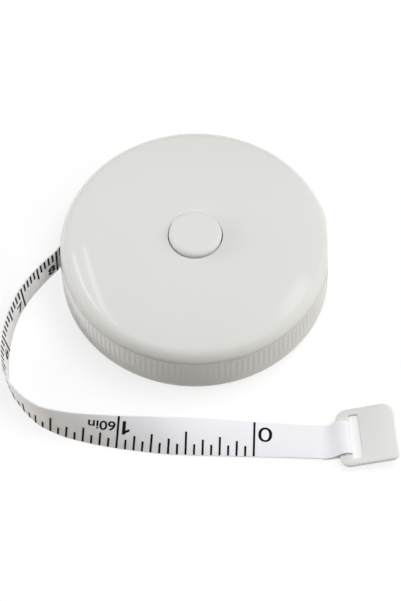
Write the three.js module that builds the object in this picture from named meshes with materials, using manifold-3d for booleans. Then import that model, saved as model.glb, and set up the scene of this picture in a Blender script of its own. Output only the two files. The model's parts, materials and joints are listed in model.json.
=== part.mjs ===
// A round cloth tape measure, spring-wound, with a push-button brake in the middle of its case.
// Millimetres, +Z up. The origin is the centre of the case's underside, on the table.
// The tape leaves the case through a mouth on the -X side, bends round to the front of the case
// and lies along -Y to its end tab.

import * as THREE from 'three';
import { mergeVertices } from 'three/addons/utils/BufferGeometryUtils.js';
import Module from 'manifold-3d';

const wasm = await Module();
wasm.setup();

// Driving dimensions, all in millimetres unless a name says degrees.

// Clearances that every fit is made with
const fitGap = 0.3; // between pieces that turn, slide or sit in each other
const mouthGap = 0.6; // each side of the tape in the case's mouth

// The tape
const tapeWidth = 7;
const tapeThickness = 0.28;
const woundLength = 1450; // what is left on the reel
const windingGap = 0.42; // between one turn and the next
const bendRadius = 0.45; // where a strip turns into a slot

// The case
const caseWall = 2.1;
const floorThickness = 1.5;
const ceilingThickness = 1.6;
const crownDrop = 2; // from the middle of the domed top down to where its edge begins to round over
const crownTiltDegrees = 13; // of the dome where its edge begins
const topEdgeRadius = 2.6;
const bottomEdgeRadius = 3.2;
const seamGap = 0.2; // the fine dark line between the two shells
const lipHeight = 0.8;
const lipThickness = 0.6;
const beadHeight = 0.15; // of the snap bead on the lip
const beadSpanShare = 0.25; // of the lip's height, to each side of the bead's middle
const beadMiddleShare = 0.5; // up the lip
const ribCount = 144;
const ribDepth = 0.22;
const ribSinkShare = 0.5; // of a rib's depth, that the valleys lie under the wall
const ribStart = 3.4; // height at which the ribs of the rim begin
const standFlatDepth = 0.65; // of the flat on the rim, opposite the mouth

// The reel
const flangeThickness = 0.6;
const coverThickness = 0.7;
const flangeMargin = 2.17; // flange beyond the wound tape
const rimGap = 0.6; // between the flange and the case
const hubWall = 0.9;
const ledgeWidth = 0.7; // step in the hub that the spring disc rests on
const spigotThickness = 0.4;
const spigotDepth = 0.6;
const wedgeThickness = 0.6;
const washerThickness = 0.3;
const washerWidth = 3.2;

// The mainspring, a flat strip wound round the post
const mainspringThickness = 0.25;
const mainspringGap = 0.45;
const mainspringTurns = 5.35;
const mainspringStandoff = 0.15; // of its first bend from the post
const springDiscThickness = 0.4;
const springSideGap = 0.4; // between the strip and the reel's flange

// The post, and the coil spring inside it
const coilRadius = 1.6; // to the middle of the wire
const wireDiameter = 0.4;
const coilTurns = 6;
const postWall = 0.9;
const keyWidth = 1; // of the brake plate's bar, in the post's slot

// The button and the brake
const buttonRadius = 5.05;
const buttonHoleGap = 0.35;
const buttonProud = 1;
const buttonCrown = 0.12;
const crownBreakShare = 0.5; // of the way out to the button's edge
const crownBreakHeightShare = 0.75; // of the crown's height
const buttonEdgeRadius = 0.8;
const buttonTravel = 1;
const buttonFlangeWidth = 1.15; // beyond the button's side
const buttonFlangeThickness = 0.8;
const stemRadius = 1.7;
const buttonShell = 1.6; // left solid over the hollow of the button
const hollowInset = 0.95; // from the stem, and from the button's side
const collarWall = 0.8;
const collarDepth = 1.8;
const plateThickness = 0.7;
const plateRimGap = 0.6;
const padThickness = 0.9;
const padWidth = 2.2;
const padRimGap = 0.4;
const pressedGap = 0.4; // under the brake plate when the button is down

// The end tab
const tabLength = 10.9;
const tabWidth = 12;
const tabThickness = 1.2;
const tabCornerRadius = 1.8;
const tabBevel = 0.2;
const slotLength = 9.2;
const slotWidth = 2.05;
const slotCornerRadius = 0.4;
const barWidth = 2.1; // from the tab's edge to its slot
const neckLength = 7.8; // of the round part of the bar that the tape goes round
const barTurnDegrees = 5; // of the tab as it lies
const tabLiftDegrees = 8.5; // the tape's loop grips the bar and holds the tab up
const barX = 27.4;
const barY = -36.4;
const tableGap = 0.05; // under the lowest part of the tape

// The tape's loop round the tab's bar
const loopTurnDegrees = 5;
const loopTail = 6; // folded back under the tape
const stepDown = 3.4; // from the bar to where the tape lies flat again
const lastLean = 4; // of the doubled tape, in degrees

// The free tape: its centre line, and how far its width leans up from level, in degrees,
// with the edge that is on the table held and the face with the inches outside
const freeRoute = [
  [-26.3, 0.2, 6.5, 90],
  [-30.0, -3.8, 6.2, 92],
  [-32.7, -7.6, 5.9, 93],
  [-34.6, -11.7, 5.4, 95],
  [-35.7, -16.1, 4.8, 98],
  [-36.0, -20.6, 4.3, 100],
  [-35.2, -25.2, 3.9, 98],
  [-32.9, -28.7, 3.7, 96],
  [-29.6, -31.8, 3.6, 90],
  [-25.3, -33.6, 3.53, 80],
  [-19.3, -34.85, 3.35, 68],
  [-14.8, -35.4, 3.14, 59],
  [-10.4, -35.7, 2.84, 50],
  [-6.1, -35.9, 2.43, 40],
  [-1.7, -35.8, 1.8, 27],
  [4.2, -35.8, 1.07, 14],
  [10.1, -36.0, 0.68, 7.5],
  [15.5, -36.2, 0.44, 2.5],
];

// Facets
const caseFacets = 60;
const reelFacets = 48;
const buttonFacets = 36;
const smallFacets = 24;
const filletSteps = 4;
const crownSteps = 4;
const smallFilletSteps = 3;
const cornerSteps = 3;
const spiralSteps = 24; // in each turn
const bendSteps = 3;
const loopSteps = 6;
const routeSteps = 3; // between two points of the route
const coilSteps = 8;
const coilSides = 5;
const neckFacets = 12;
const leadSteps = 3; // from the winding to the mouth

const overrun = 1; // of every cut, past the face that it opens
const quarterTurn = Math.PI / 2;
const halfTurn = Math.PI;
const fullTurn = 2 * Math.PI;

// Heights, from the floor of the case up to its top
const floorTop = floorThickness;
const washerTop = floorTop + washerThickness;
const flangeBottom = washerTop + fitGap;
const flangeTop = flangeBottom + flangeThickness;
const tapeLow = flangeTop + fitGap;
const tapeTop = tapeLow + tapeWidth;
const coverBottom = tapeTop + fitGap;
const coverTop = coverBottom + coverThickness;
const buttonFlangeLow = coverTop + fitGap + buttonTravel;
const buttonFlangeTop = buttonFlangeLow + buttonFlangeThickness;
const ceilingLow = buttonFlangeTop + fitGap;
const caseHeight = ceilingLow + ceilingThickness;
const seamHeight = coverBottom;
const skirtLow = seamHeight + seamGap;
const lipTop = seamHeight + lipHeight;
const padTop = coverBottom - fitGap;
const padLow = padTop - padThickness;
const plateLow = padLow - plateThickness;
const springDiscTop = plateLow - buttonTravel - pressedGap;
const springDiscLow = springDiscTop - springDiscThickness;
const mainspringLow = flangeTop + springSideGap;
const mainspringTop = springDiscLow - fitGap;
const postTop = coverTop;

// Radii, from the middle of the post out to the rim of the case
const coilOuter = coilRadius + wireDiameter / 2;
const postBore = coilOuter + fitGap;
const postRadius = postBore + postWall;
const postSlotWidth = keyWidth + 2 * fitGap;
const bearingRadius = postRadius + fitGap;
const mainspringInner = postRadius + mainspringStandoff + bendRadius;
const mainspringOuter = mainspringInner + mainspringTurns * (mainspringThickness + mainspringGap);
const cavityRadius = mainspringOuter + bendRadius;
const hubInner = cavityRadius + ledgeWidth;
const hubRadius = hubInner + hubWall;
const windingPitch = tapeThickness + windingGap;
const woundInner = hubRadius + bendRadius;
const woundOuter = Math.sqrt(woundInner ** 2 + (woundLength * windingPitch) / Math.PI);
const flangeRadius = woundOuter + tapeThickness / 2 + flangeMargin;
const caseInner = flangeRadius + rimGap;
const caseRadius = caseInner + caseWall;
const wallRadius = caseRadius - ribDepth; // between the ribs
const lipRadius = caseInner + lipThickness;
const skirtInner = lipRadius + fitGap;
const buttonHole = buttonRadius + buttonHoleGap;
const buttonFlangeRadius = buttonRadius + buttonFlangeWidth;
const collarInner = buttonFlangeRadius + fitGap;

// The line on which the tape leaves its winding and crosses the case's wall
const exitPoint = new THREE.Vector2(freeRoute[0][0], freeRoute[0][1]);
const exitDistance = exitPoint.length();
const tangentLength = Math.sqrt(exitDistance ** 2 - woundOuter ** 2);
const leaveAngle = exitPoint.angle() - Math.acos(woundOuter / exitDistance);
const leavePoint = new THREE.Vector2(Math.cos(leaveAngle), Math.sin(leaveAngle)).multiplyScalar(woundOuter);
const leaveDirection = exitPoint.clone().sub(leavePoint).normalize();

// Where the strips end in the hub and in the post: the two slots of the hub face away from each other
const woundTurns = (woundOuter - woundInner) / windingPitch;
const tapeSlotAngle = leaveAngle - woundTurns * fullTurn;
const springSlotAngle = tapeSlotAngle + halfTurn;
const postSlotAngle = springSlotAngle - mainspringTurns * fullTurn;

// Materials
const plastic = (color, roughness) => new THREE.MeshStandardMaterial({ color, roughness, metalness: 0 });
const metal = (color, roughness) => new THREE.MeshStandardMaterial({ color, roughness, metalness: 1 });
const caseWhite = plastic('#dddedc', 0.35);
const buttonWhite = plastic('#dedfdd', 0.3);
const reelWhite = plastic('#d2d1cb', 0.5);
const washerWhite = plastic('#ecece6', 0.5);
const tabWhite = plastic('#e1e2df', 0.4);
const tapeWhite = plastic('#ebecf5', 0.6);
const padRubber = plastic('#2c2b2a', 0.85);
const discCard = plastic('#b7ab92', 0.9);
const springSteel = metal('#8e9196', 0.35);

// The whole measure, and one of its pieces
const measure = new THREE.Group();

function piece(name, geometry, material, parent = measure) {
  const mesh = new THREE.Mesh(geometry, material);
  mesh.name = name;
  parent.add(mesh);
  return mesh;
}

// A closed body with shared corners and its faces pointing out
function welded(geometry) {
  const bare = new THREE.BufferGeometry();
  bare.setAttribute('position', geometry.getAttribute('position'));
  bare.setIndex(geometry.getIndex());
  const merged = mergeVertices(bare);
  const position = merged.getAttribute('position');
  const index = merged.getIndex().array;
  const corners = [0, 1, 2].map(() => new THREE.Vector3());
  const kept = [];
  let volume = 0;
  for (let i = 0; i < index.length; i += 3) {
    const [a, b, c] = index.subarray(i, i + 3);
    if (a === b || b === c || c === a) continue;
    kept.push(a, b, c);
    corners.forEach((corner, k) => corner.fromBufferAttribute(position, index[i + k]));
    volume += corners[0].dot(corners[1].clone().cross(corners[2]));
  }
  if (volume < 0) kept.reverse();
  merged.setIndex(kept);
  return merged;
}

const toSolid = (geometry) => {
  const body = welded(geometry);
  return new wasm.Manifold(
    new wasm.Mesh({
      numProp: 3,
      vertProperties: new Float32Array(body.getAttribute('position').array),
      triVerts: new Uint32Array(body.getIndex().array),
    }),
  );
};

const fromSolid = (solid) => {
  const { vertProperties, triVerts } = solid.getMesh();
  const geometry = new THREE.BufferGeometry();
  geometry.setAttribute('position', new THREE.BufferAttribute(vertProperties, 3));
  geometry.setIndex(new THREE.BufferAttribute(triVerts, 1));
  return geometry;
};

const cutFrom = (geometry, ...tools) =>
  fromSolid(tools.reduce((solid, tool) => solid.subtract(toSolid(tool)), toSolid(geometry)));

const joined = (geometry, ...others) =>
  fromSolid(others.reduce((solid, other) => solid.add(toSolid(other)), toSolid(geometry)));

// A turned piece: its profile is a list of [radius, height] that ends on the axis or closes on itself
function turned(profile, facets) {
  const points = profile.map(([radius, height]) => new THREE.Vector2(radius, height));
  if (profile[0][0] > 0) points.push(points[0].clone());
  return welded(new THREE.LatheGeometry(points, facets).rotateX(quarterTurn));
}

const ring = (inner, outer, low, high, facets) =>
  turned([[inner, low], [outer, low], [outer, high], [inner, high]], facets);

// Profile points on an arc round a centre, from one angle to another in radians
function arc(centreRadius, centreHeight, radius, from, to, steps = filletSteps) {
  return Array.from({ length: steps + 1 }, (_, i) => {
    const angle = from + ((to - from) * i) / steps;
    return [centreRadius + radius * Math.cos(angle), centreHeight + radius * Math.sin(angle)];
  });
}

// A box from its low corner to its high corner, turned about Z and then moved
function block(low, high, turn = 0, place = [0, 0, 0]) {
  const size = high.map((value, i) => value - low[i]);
  const box = new THREE.BoxGeometry(...size);
  box.translate(...low.map((value, i) => value + size[i] / 2));
  box.rotateZ(turn);
  return box.translate(...place);
}

// A closed ribbon along stations, each with its place and the direction of the ribbon's width
function ribbon(stations, width, thickness) {
  const vertices = [];
  const last = stations.length - 1;
  stations.forEach(({ place, across }, i) => {
    const along = stations[Math.min(i + 1, last)].place.clone().sub(stations[Math.max(i - 1, 0)].place);
    const wide = across.clone().setLength(width / 2);
    const thick = along.cross(across).setLength(thickness / 2);
    for (const [w, t] of [[1, 1], [-1, 1], [-1, -1], [1, -1]]) {
      const corner = place.clone().addScaledVector(wide, w).addScaledVector(thick, t);
      vertices.push(...corner.toArray());
    }
  });
  const corners = 4;
  const faces = [0, 1, 2, 0, 2, 3];
  for (let i = 0; i < last; i += 1) {
    for (let k = 0; k < corners; k += 1) {
      const a = i * corners + k;
      const b = i * corners + ((k + 1) % corners);
      faces.push(a, a + corners, b, b, a + corners, b + corners);
    }
  }
  const end = last * corners;
  faces.push(end, end + 2, end + 1, end, end + 3, end + 2);
  const geometry = new THREE.BufferGeometry();
  geometry.setAttribute('position', new THREE.Float32BufferAttribute(vertices, 3));
  geometry.setIndex(faces);
  return welded(geometry);
}

// A point beside a spoke of the reel: so far out along it, and so far to its left
const spokePoint = (angle, out, left) =>
  new THREE.Vector2(out, left).rotateAround(new THREE.Vector2(), angle);

// A quarter bend between a spoke and a turn, round a centre beside the spoke
function quarterBend(angle, centreOut, centreLeft, from, to) {
  return Array.from({ length: bendSteps + 1 }, (_, i) => {
    const turn = from + ((to - from) * i) / bendSteps;
    const out = centreOut + bendRadius * Math.cos(turn);
    return spokePoint(angle, out, centreLeft + bendRadius * Math.sin(turn));
  });
}

// A spiral from one radius to another, counter-clockwise, without its first point
function spiral(startAngle, startRadius, endAngle, endRadius, turns) {
  const steps = Math.ceil(turns * spiralSteps);
  return Array.from({ length: steps }, (_, i) => {
    const share = (i + 1) / steps;
    const radius = THREE.MathUtils.lerp(startRadius, endRadius, share);
    const angle = THREE.MathUtils.lerp(startAngle, endAngle, share);
    return spokePoint(angle, radius, 0);
  });
}

// An upright strip wound along points in plan
const uprightStrip = (points, low, high, thickness) =>
  ribbon(
    points.map(({ x, y }) => ({
      place: new THREE.Vector3(x, y, (low + high) / 2),
      across: new THREE.Vector3(0, 0, 1),
    })),
    high - low,
    thickness,
  );

// The least gap that a wound strip or wire leaves to itself, from its points half a turn or more apart
function leastGap(points, stepsPerTurn, thickness) {
  let least = Infinity;
  const nearest = new THREE.Vector3();
  const flat = points.map((point) => new THREE.Vector3(point.x, point.y, point.z ?? 0));
  flat.forEach((point, i) => {
    for (let k = i + stepsPerTurn / 2; k + 1 < flat.length; k += 1) {
      new THREE.Line3(flat[k], flat[k + 1]).closestPointToPoint(point, true, nearest);
      least = Math.min(least, nearest.distanceTo(point));
    }
  });
  return least - thickness;
}

const reportGap = (name, gap) => console.log(`${name}: least gap to itself ${gap.toFixed(3)} mm`);

// Cuts that both shells share
const standFlat = block(
  [caseRadius - standFlatDepth, -caseRadius, -overrun],
  [caseRadius + overrun, caseRadius, caseHeight + overrun],
);

// Lower shell: a cup with the reel's post in the middle, a lip that the upper shell snaps over,
// a ribbed rim, and the mouth for the tape
function lowerShell() {
  const beadSpan = lipHeight * beadSpanShare;
  const beadMiddle = seamHeight + lipHeight * beadMiddleShare;
  const cup = turned(
    [
      [0, 0],
      ...arc(wallRadius - bottomEdgeRadius, bottomEdgeRadius, bottomEdgeRadius, -quarterTurn, 0),
      [wallRadius, seamHeight],
      [lipRadius, seamHeight],
      [lipRadius, beadMiddle - beadSpan],
      [lipRadius + beadHeight, beadMiddle],
      [lipRadius, beadMiddle + beadSpan],
      [lipRadius, lipTop],
      [caseInner, lipTop],
      [caseInner, floorTop],
      [postRadius, floorTop],
      [postRadius, postTop],
      [postBore, postTop],
      [postBore, floorTop],
      [0, floorTop],
    ],
    caseFacets,
  );
  const star = new THREE.Shape(
    Array.from({ length: 2 * ribCount }, (_, i) => {
      const radius = i % 2 ? wallRadius - ribDepth * ribSinkShare : caseRadius;
      return spokePoint((i * halfTurn) / ribCount, radius, 0);
    }),
  );
  const ribRoot = (caseInner + wallRadius) / 2;
  star.holes.push(
    new THREE.Path(
      Array.from({ length: caseFacets }, (_, i) => spokePoint((i * fullTurn) / caseFacets, ribRoot, 0)),
    ),
  );
  const ribs = new THREE.ExtrudeGeometry(star, { depth: seamHeight - ribStart, bevelEnabled: false });
  ribs.translate(0, 0, ribStart);
  const mouthHalf = tapeThickness / 2 + mouthGap;
  const mouthIn = Math.sqrt(caseInner ** 2 - (woundOuter + mouthHalf) ** 2);
  const mouthOut = Math.sqrt(caseRadius ** 2 - (woundOuter - mouthHalf) ** 2);
  const mouth = block(
    [mouthIn - overrun, -mouthHalf, flangeTop],
    [mouthOut + overrun, mouthHalf, lipTop + overrun],
    leaveDirection.angle(),
    [leavePoint.x, leavePoint.y, 0],
  );
  const postSlot = block(
    [-postRadius - overrun, -postSlotWidth / 2, flangeTop],
    [postRadius + overrun, postSlotWidth / 2, postTop + overrun],
    postSlotAngle,
  );
  return cutFrom(joined(cup, ribs), mouth, postSlot, standFlat);
}

// The domed top: how far it has fallen at a radius, and points on it from one radius to another
const crownTilt = THREE.MathUtils.degToRad(crownTiltDegrees);
const crownReach = caseRadius - topEdgeRadius * (1 - Math.sin(crownTilt));
const crownPower = (Math.tan(crownTilt) * crownReach) / crownDrop;
const crownFall = (radius) => crownDrop * (radius / crownReach) ** crownPower;

const crown = (from, to, middle) =>
  Array.from({ length: crownSteps + 1 }, (_, i) => {
    const radius = THREE.MathUtils.lerp(from, to, i / crownSteps);
    return [radius, middle - crownFall(radius)];
  });

// Upper shell: a low dome with the button's hole, a collar that guides the button,
// and a skirt that takes the lip
function upperShell() {
  const edgeCentre = caseRadius - topEdgeRadius;
  const edgeHeight = caseHeight - crownDrop - topEdgeRadius * Math.cos(crownTilt);
  const edgeEnd = Math.asin(Math.max(0, (skirtLow - edgeHeight) / topEdgeRadius));
  const grooveSpan = lipHeight * beadSpanShare;
  const grooveMiddle = seamHeight + lipHeight * beadMiddleShare;
  const collarOuter = collarInner + collarWall;
  return cutFrom(
    turned(
      [
        [buttonHole, ceilingLow],
        ...crown(buttonHole, crownReach, caseHeight).slice(0, -1),
        ...arc(edgeCentre, edgeHeight, topEdgeRadius, quarterTurn - crownTilt, edgeEnd),
        [edgeCentre + topEdgeRadius * Math.cos(edgeEnd), skirtLow],
        [skirtInner, skirtLow],
        [skirtInner, grooveMiddle - grooveSpan],
        [skirtInner + beadHeight, grooveMiddle],
        [skirtInner, grooveMiddle + grooveSpan],
        [skirtInner, lipTop + fitGap],
        ...crown(crownReach, collarOuter, ceilingLow),
        [collarOuter, ceilingLow - collarDepth],
        [collarInner, ceilingLow - collarDepth],
        [collarInner, ceilingLow],
      ],
      caseFacets,
    ),
    standFlat,
  );
}

// Reel: a lower flange and a hub, with a slot for each strip that is hooked in it
function reelDrum() {
  const drum = turned(
    [
      [bearingRadius, flangeBottom],
      [flangeRadius, flangeBottom],
      [flangeRadius, flangeTop],
      [hubRadius, flangeTop],
      [hubRadius, coverBottom],
      [hubInner, coverBottom],
      [hubInner, springDiscLow],
      [cavityRadius, springDiscLow],
      [cavityRadius, flangeTop],
      [bearingRadius, flangeTop],
    ],
    reelFacets,
  );
  const slot = (angle, left, right) =>
    block(
      [cavityRadius - overrun, -right, flangeTop],
      [hubRadius + overrun, left, coverBottom + overrun],
      angle,
    );
  const wedgeSide = tapeThickness / 2 + fitGap + wedgeThickness + fitGap;
  const springSide = mainspringThickness / 2 + bendRadius;
  return cutFrom(
    drum,
    slot(tapeSlotAngle, bendRadius, wedgeSide),
    slot(springSlotAngle, springSide, springSide),
  );
}

// Reel cover: the upper flange, with a spigot that sits in the hub
function reelCover() {
  const spigotOuter = hubInner - fitGap;
  const spigotInner = spigotOuter - spigotThickness;
  return turned(
    [
      [bearingRadius, coverBottom],
      [spigotInner, coverBottom],
      [spigotInner, coverBottom - spigotDepth],
      [spigotOuter, coverBottom - spigotDepth],
      [spigotOuter, coverBottom],
      [flangeRadius, coverBottom],
      [flangeRadius, coverTop],
      [bearingRadius, coverTop],
    ],
    reelFacets,
  );
}

// Wound tape: from its tuck in the hub's slot, out to where it leaves the winding
function woundTape() {
  const startAngle = tapeSlotAngle + bendRadius / woundInner;
  const points = [
    spokePoint(tapeSlotAngle, hubInner + fitGap, 0),
    ...quarterBend(tapeSlotAngle, hubRadius, bendRadius, -quarterTurn, 0),
    ...spiral(startAngle, woundInner, leaveAngle, woundOuter, (leaveAngle - startAngle) / fullTurn),
  ];
  reportGap('wound_tape', leastGap(points, spiralSteps, tapeThickness));
  return uprightStrip(points, tapeLow, tapeTop, tapeThickness);
}

// Mainspring: its inner end is bent into the post's slot, its outer end into the hub's
function mainspring() {
  const startAngle = postSlotAngle + bendRadius / mainspringInner;
  const endAngle = springSlotAngle - bendRadius / mainspringOuter;
  const turns = (endAngle - startAngle) / fullTurn;
  const points = [
    spokePoint(postSlotAngle, postBore + fitGap, 0),
    ...quarterBend(postSlotAngle, mainspringInner - bendRadius, bendRadius, -quarterTurn, 0),
    ...spiral(startAngle, mainspringInner, endAngle, mainspringOuter, turns).slice(0, -1),
    ...quarterBend(springSlotAngle, cavityRadius, -bendRadius, halfTurn, quarterTurn),
    spokePoint(springSlotAngle, hubRadius - fitGap, 0),
  ];
  reportGap('mainspring', leastGap(points, spiralSteps, mainspringThickness));
  return uprightStrip(points, mainspringLow, mainspringTop, mainspringThickness);
}

// Washer under the reel, and card disc that covers the mainspring
const thrustWasher = () =>
  ring(bearingRadius, bearingRadius + washerWidth, floorTop, washerTop, smallFacets);

const springDisc = () =>
  ring(bearingRadius, hubInner - fitGap, springDiscLow, springDiscTop, reelFacets);

// Wedge beside the tape's tuck
const tapeWedge = () =>
  block(
    [hubInner + fitGap / 2, -tapeThickness / 2 - fitGap - wedgeThickness, flangeTop],
    [hubRadius - fitGap / 2, -tapeThickness / 2 - fitGap, tapeTop],
    tapeSlotAngle,
  );

// Brake plate: a disc with a bar across its middle, which slides in the post's slot
function brakePlate() {
  const disc = ring(bearingRadius, hubInner - plateRimGap, plateLow, padLow, reelFacets);
  const reach = bearingRadius + fitGap;
  const bar = block([-reach, -keyWidth / 2, plateLow], [reach, keyWidth / 2, padLow], postSlotAngle);
  return joined(disc, bar);
}

// Brake pad: a rubber ring on the plate, which the spring holds up against the reel's cover
function brakePad() {
  const outer = hubInner - fitGap - spigotThickness - padRimGap;
  return ring(outer - padWidth, outer, padLow, padTop, reelFacets);
}

// Button: a low cap with a flange that keeps it in the case, and a stem that pushes the brake down
function button() {
  const capTop = caseHeight + buttonProud;
  const hollowTop = capTop - buttonShell;
  const edge = buttonRadius - buttonEdgeRadius;
  return turned(
    [
      [0, padLow],
      [stemRadius, padLow],
      [stemRadius, buttonFlangeLow],
      [stemRadius + hollowInset, buttonFlangeLow],
      [stemRadius + hollowInset, hollowTop],
      [buttonRadius - hollowInset, hollowTop],
      [buttonRadius - hollowInset, buttonFlangeLow],
      [buttonFlangeRadius, buttonFlangeLow],
      [buttonFlangeRadius, buttonFlangeTop],
      [buttonRadius, buttonFlangeTop],
      ...arc(edge, capTop - buttonEdgeRadius, buttonEdgeRadius, 0, quarterTurn, smallFilletSteps),
      [edge * crownBreakShare, capTop + buttonCrown * crownBreakHeightShare],
      [0, capTop + buttonCrown],
    ],
    buttonFacets,
  );
}

// Button spring: a coil in the bore of the post, under the brake plate's bar
class Coil extends THREE.Curve {
  getPoint(share, target = new THREE.Vector3()) {
    const angle = share * coilTurns * fullTurn;
    const low = floorTop + fitGap + wireDiameter / 2;
    const high = plateLow - fitGap - wireDiameter / 2;
    const height = THREE.MathUtils.lerp(low, high, share);
    return target.set(coilRadius * Math.cos(angle), coilRadius * Math.sin(angle), height);
  }
}

function buttonSpring() {
  const section = new THREE.Shape(
    Array.from({ length: coilSides }, (_, i) => spokePoint((i * fullTurn) / coilSides, wireDiameter / 2, 0)),
  );
  const steps = coilTurns * coilSteps;
  const path = new Coil();
  const points = Array.from({ length: steps + 1 }, (_, i) => path.getPoint(i / steps));
  reportGap('button_spring', leastGap(points, coilSteps, wireDiameter));
  return welded(new THREE.ExtrudeGeometry(section, { steps, extrudePath: path, bevelEnabled: false }));
}

// Free tape: from inside the case, through the mouth, along its route, and round the tab's bar
const barHeight = tableGap + tapeThickness + fitGap + tabThickness / 2;
const loopRadius = tabThickness / 2 + fitGap + tapeThickness / 2;
const loopTurn = THREE.MathUtils.degToRad(loopTurnDegrees);

const besideBar = (out, height) =>
  new THREE.Vector3(barX + out * Math.cos(loopTurn), barY + out * Math.sin(loopTurn), height);

function freeTape() {
  const sweptRadius = woundOuter + tapeThickness / 2 + fitGap + tapeThickness / 2;
  const leadStart = Math.sqrt(sweptRadius ** 2 - woundOuter ** 2);
  const leadHeight = (tapeLow + tapeTop) / 2;
  const lead = Array.from({ length: leadSteps }, (_, i) => {
    const at = THREE.MathUtils.lerp(leadStart, tangentLength, i / leadSteps);
    const spot = leavePoint.clone().addScaledVector(leaveDirection, at);
    return [spot.x, spot.y, leadHeight, 90];
  });
  const doubledHeight = tableGap + tapeThickness + fitGap + tapeThickness / 2;
  const overBar = barHeight + loopRadius;
  const approach = [
    [-loopTail, doubledHeight, lastLean],
    [-stepDown, doubledHeight, 0],
    [-stepDown / 2, (doubledHeight + overBar) / 2, 0],
  ].map(([out, height, lean]) => [...besideBar(out, height).toArray(), lean]);
  const points = [...lead, ...freeRoute, ...approach];
  const curve = new THREE.CatmullRomCurve3(points.map(([x, y, z]) => new THREE.Vector3(x, y, z)));
  const up = new THREE.Vector3(0, 0, 1);
  const stations = [];
  const spans = points.length - 1;
  for (let i = 0; i <= spans * routeSteps; i += 1) {
    const share = i / (spans * routeSteps);
    const from = Math.min(Math.floor(i / routeSteps), spans - 1);
    const leanDegrees = THREE.MathUtils.lerp(points[from][3], points[from + 1][3], i / routeSteps - from);
    const lean = THREE.MathUtils.degToRad(leanDegrees);
    const along = curve.getTangent(share);
    const level = up.clone().cross(along).normalize();
    const steep = along.clone().cross(level);
    stations.push({
      place: curve.getPoint(share),
      across: level.multiplyScalar(Math.cos(lean)).addScaledVector(steep, Math.sin(lean)),
    });
  }
  const across = new THREE.Vector3(-Math.sin(loopTurn), Math.cos(loopTurn), 0);
  for (let i = 0; i <= loopSteps; i += 1) {
    const turn = quarterTurn - (halfTurn * i) / loopSteps;
    const place = besideBar(loopRadius * Math.cos(turn), barHeight + loopRadius * Math.sin(turn));
    stations.push({ place, across });
  }
  stations.push({ place: besideBar(-loopTail, barHeight - loopRadius), across });
  return ribbon(stations, tapeWidth, tapeThickness);
}

// End tab: a flat plate with a slot, and a bar whose middle is round so that the tab swings on the tape
function roundedRectangle(left, low, right, high, radius, path) {
  path.moveTo(left + radius, low);
  path.lineTo(right - radius, low);
  path.absarc(right - radius, low + radius, radius, -quarterTurn, 0);
  path.lineTo(right, high - radius);
  path.absarc(right - radius, high - radius, radius, 0, quarterTurn);
  path.lineTo(left + radius, high);
  path.absarc(left + radius, high - radius, radius, quarterTurn, halfTurn);
  path.lineTo(left, low + radius);
  path.absarc(left + radius, low + radius, radius, halfTurn, halfTurn + quarterTurn);
  return path;
}

const slotEdge = tabThickness / 2; // from the bar's axis
const tabEdge = slotEdge - barWidth;

function endTab() {
  const outline = roundedRectangle(
    tabEdge,
    -tabWidth / 2,
    tabEdge + tabLength,
    tabWidth / 2,
    tabCornerRadius,
    new THREE.Shape(),
  );
  outline.holes.push(
    roundedRectangle(
      slotEdge,
      -slotLength / 2,
      slotEdge + slotWidth,
      slotLength / 2,
      slotCornerRadius,
      new THREE.Path(),
    ),
  );
  const plate = new THREE.ExtrudeGeometry(outline, {
    depth: tabThickness - 2 * tabBevel,
    curveSegments: cornerSteps,
    bevelThickness: tabBevel,
    bevelSize: tabBevel,
    bevelOffset: -tabBevel,
    bevelSegments: 1,
  });
  plate.translate(0, 0, tabBevel - tabThickness / 2);
  const waist = block(
    [tabEdge - overrun, -neckLength / 2, -tabThickness],
    [slotEdge + slotWidth / 2, neckLength / 2, tabThickness],
  );
  const neckRadius = tabThickness / 2;
  const neck = new THREE.CylinderGeometry(neckRadius, neckRadius, neckLength + 2 * fitGap, neckFacets);
  return joined(cutFrom(plate, waist), neck);
}

// The case and what is fixed in it
piece('lower_shell', lowerShell(), caseWhite);
piece('upper_shell', upperShell(), caseWhite);
piece('thrust_washer', thrustWasher(), washerWhite);
piece('free_tape', freeTape(), tapeWhite);

// The reel and what turns with it
piece('reel_drum', reelDrum(), reelWhite);
piece('reel_cover', reelCover(), reelWhite);
piece('wound_tape', woundTape(), tapeWhite);
piece('tape_wedge', tapeWedge(), reelWhite);
piece('spring_disc', springDisc(), discCard);
piece('mainspring', mainspring(), springSteel);

// The button and the brake that it pushes down
piece('button', button(), buttonWhite);
piece('brake_plate', brakePlate(), washerWhite);
piece('brake_pad', brakePad(), padRubber);
piece('button_spring', buttonSpring(), springSteel);

// The tab, a little raised at its far end
const tabPlace = new THREE.Group();
tabPlace.position.set(barX, barY, barHeight);
tabPlace.rotation.z = THREE.MathUtils.degToRad(barTurnDegrees);
measure.add(tabPlace);
piece('end_tab', endTab(), tabWhite, tabPlace).rotation.y = -THREE.MathUtils.degToRad(tabLiftDegrees);

export default measure;
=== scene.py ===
# %% [markdown]
# # A sewing tape measure that winds itself in
# A round white case holds a reel with a spring. A metre and a half of coated cloth tape is wound on the
# reel, the button in the middle of the case lets the reel go, and a plastic tab keeps the end of the tape
# outside. The sizes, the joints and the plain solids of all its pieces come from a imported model. This
# script loads that model as a frame that never moves, and makes the surfaces that the eye sees around it.

# %% Load the frame
import json
from math import acos, atan2, ceil, cos, pi, radians, sin, sqrt, tan

import bmesh
import bpy
import numpy as np
from mathutils import Matrix, Quaternion, Vector


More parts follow.
